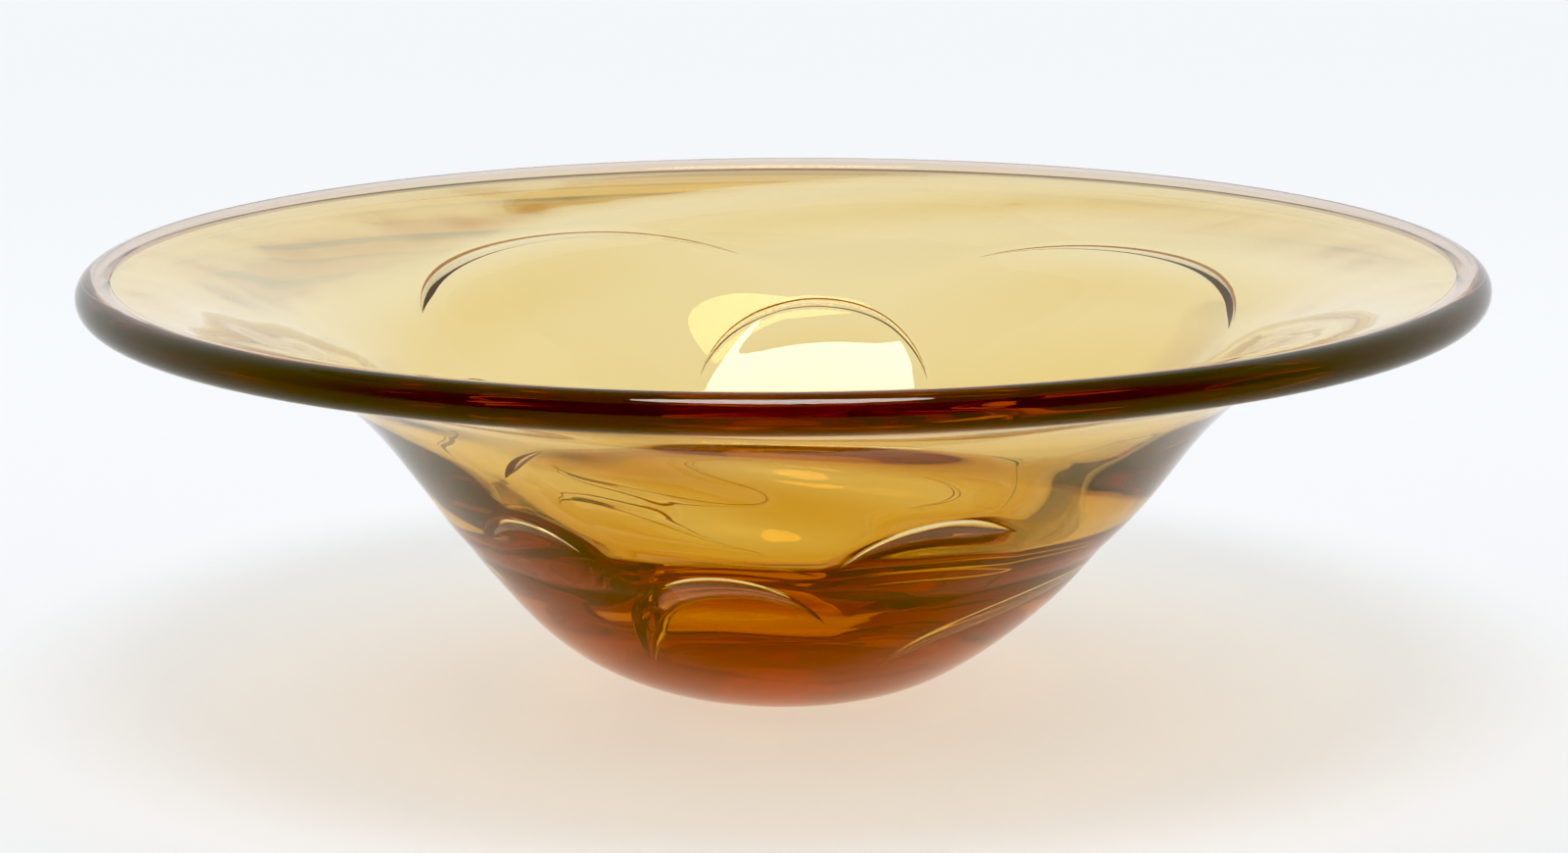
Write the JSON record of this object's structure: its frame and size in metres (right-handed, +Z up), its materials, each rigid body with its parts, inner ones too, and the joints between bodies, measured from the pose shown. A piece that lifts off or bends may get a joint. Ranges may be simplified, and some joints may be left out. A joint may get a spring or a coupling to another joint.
{
  "type": "art glass bowl",
  "caption": "Hand-blown art glass bowl: wide flared rim with a rounded lip, dented rounded well in amber glass cased in pale glass, flat base pad.",
  "frame": {"origin": "on the table, under the middle of the base pad", "axes": "+Z up out of the bowl's mouth, -Y towards the viewer, +X to the viewer's right"},
  "size_m": [0.305, 0.305, 0.0952],
  "materials": {
    "amber_glass": "polished",
    "pale_glass": "polished",
    "lip_glass": "polished",
    "base_glass": "ground"
  },
  "bodies": {
    "root": {"inner_gather": "amber_glass", "outer_gather": "pale_glass", "lip_wrap": "lip_glass", "pontil_pad": "base_glass"}
  },
  "joints": []
}
